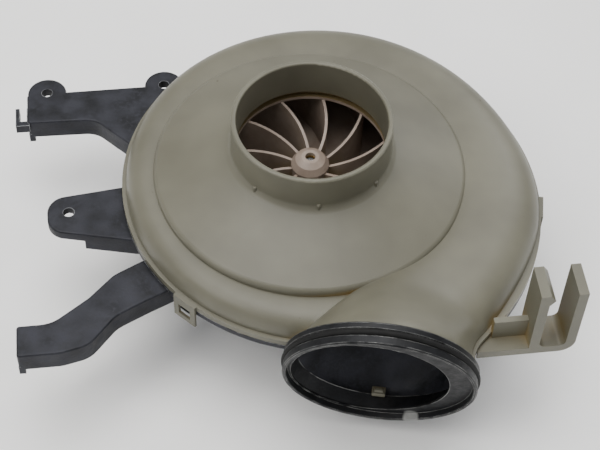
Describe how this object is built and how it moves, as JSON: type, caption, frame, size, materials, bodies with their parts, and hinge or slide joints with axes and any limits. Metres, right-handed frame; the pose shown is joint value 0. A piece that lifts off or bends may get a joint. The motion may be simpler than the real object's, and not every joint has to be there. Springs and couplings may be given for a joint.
{
  "type": "combustion fan",
  "caption": "Centrifugal combustion air fan with a moulded scroll cover, die-cast lower casing with three mounting arms, round sealed outlet and a motor underneath.",
  "frame": {"origin": "on the fan's axis, at the top of the inlet collar's straight bore", "axes": "+Z out of the inlet along the fan's axis; the outlet looks along -Y and ten degrees down; the mounting arms reach towards -X"},
  "size_m": [0.2899, 0.2223, 0.1095],
  "materials": {
    "shell_plastic": "translucent moulded polypropylene, satin",
    "die_cast_alloy": "rough die-cast, tarnished",
    "collar_alloy": "machined casting, dark",
    "black_rubber": "matte",
    "wheel_plastic": "moulded, satin",
    "gasket_fibre": "matte",
    "bush_brass": "turned",
    "ground_steel": "ground",
    "zinc_steel": "zinc plated, satin",
    "lamination_steel": "stacked sheet",
    "copper_wire": "enamelled copper wire",
    "magnet_ferrite": "ground ferrite",
    "board_laminate": "solder mask over glass laminate",
    "connector_plastic": "moulded nylon"
  },
  "bodies": {
    "casing": {"upper_shell": "shell_plastic", "lower_casting": "die_cast_alloy", "casing_gasket": "gasket_fibre", "outlet_collar": "collar_alloy", "outlet_o_ring": "black_rubber", "shaft_seal": "black_rubber", "front_bearing_outer_race": "ground_steel", "rear_bearing_outer_race": "ground_steel", "bearing_wave_washer": "ground_steel", "isolation_mounts": "black_rubber", "end_shield": "die_cast_alloy", "mount_screws": "zinc_steel", "stator_core": "lamination_steel", "stator_windings": "copper_wire", "circuit_board": "board_laminate", "connector_socket": "connector_plastic", "motor_housing": "zinc_steel"},
    "wheel": {"impeller": "wheel_plastic", "impeller_shroud": "wheel_plastic", "hub_bush": "bush_brass", "motor_shaft": "ground_steel", "front_bearing_inner_race": "ground_steel", "rear_bearing_inner_race": "ground_steel", "shaft_circlip": "ground_steel", "rotor_core": "lamination_steel", "rotor_magnets": "magnet_ferrite"},
    "front_ball_set": {"front_bearing_balls": "ground_steel"},
    "rear_ball_set": {"rear_bearing_balls": "ground_steel"}
  },
  "joints": [
    {"name": "wheel_spin", "type": "hinge", "parent": "casing", "child": "wheel", "pos_m": [0, 0, 0], "axis": [0, 0, 1], "continuous": true},
    {"name": "front_balls_turn", "type": "hinge", "parent": "casing", "child": "front_ball_set", "pos_m": [0, 0, 0], "axis": [0, 0, 1], "continuous": true},
    {"name": "rear_balls_turn", "type": "hinge", "parent": "casing", "child": "rear_ball_set", "pos_m": [0, 0, 0], "axis": [0, 0, 1], "continuous": true}
  ],
  "couplings": [
    {"joint": "front_balls_turn", "follows": "wheel_spin", "ratio": 0.376},
    {"joint": "rear_balls_turn", "follows": "wheel_spin", "ratio": 0.376}
  ]
}
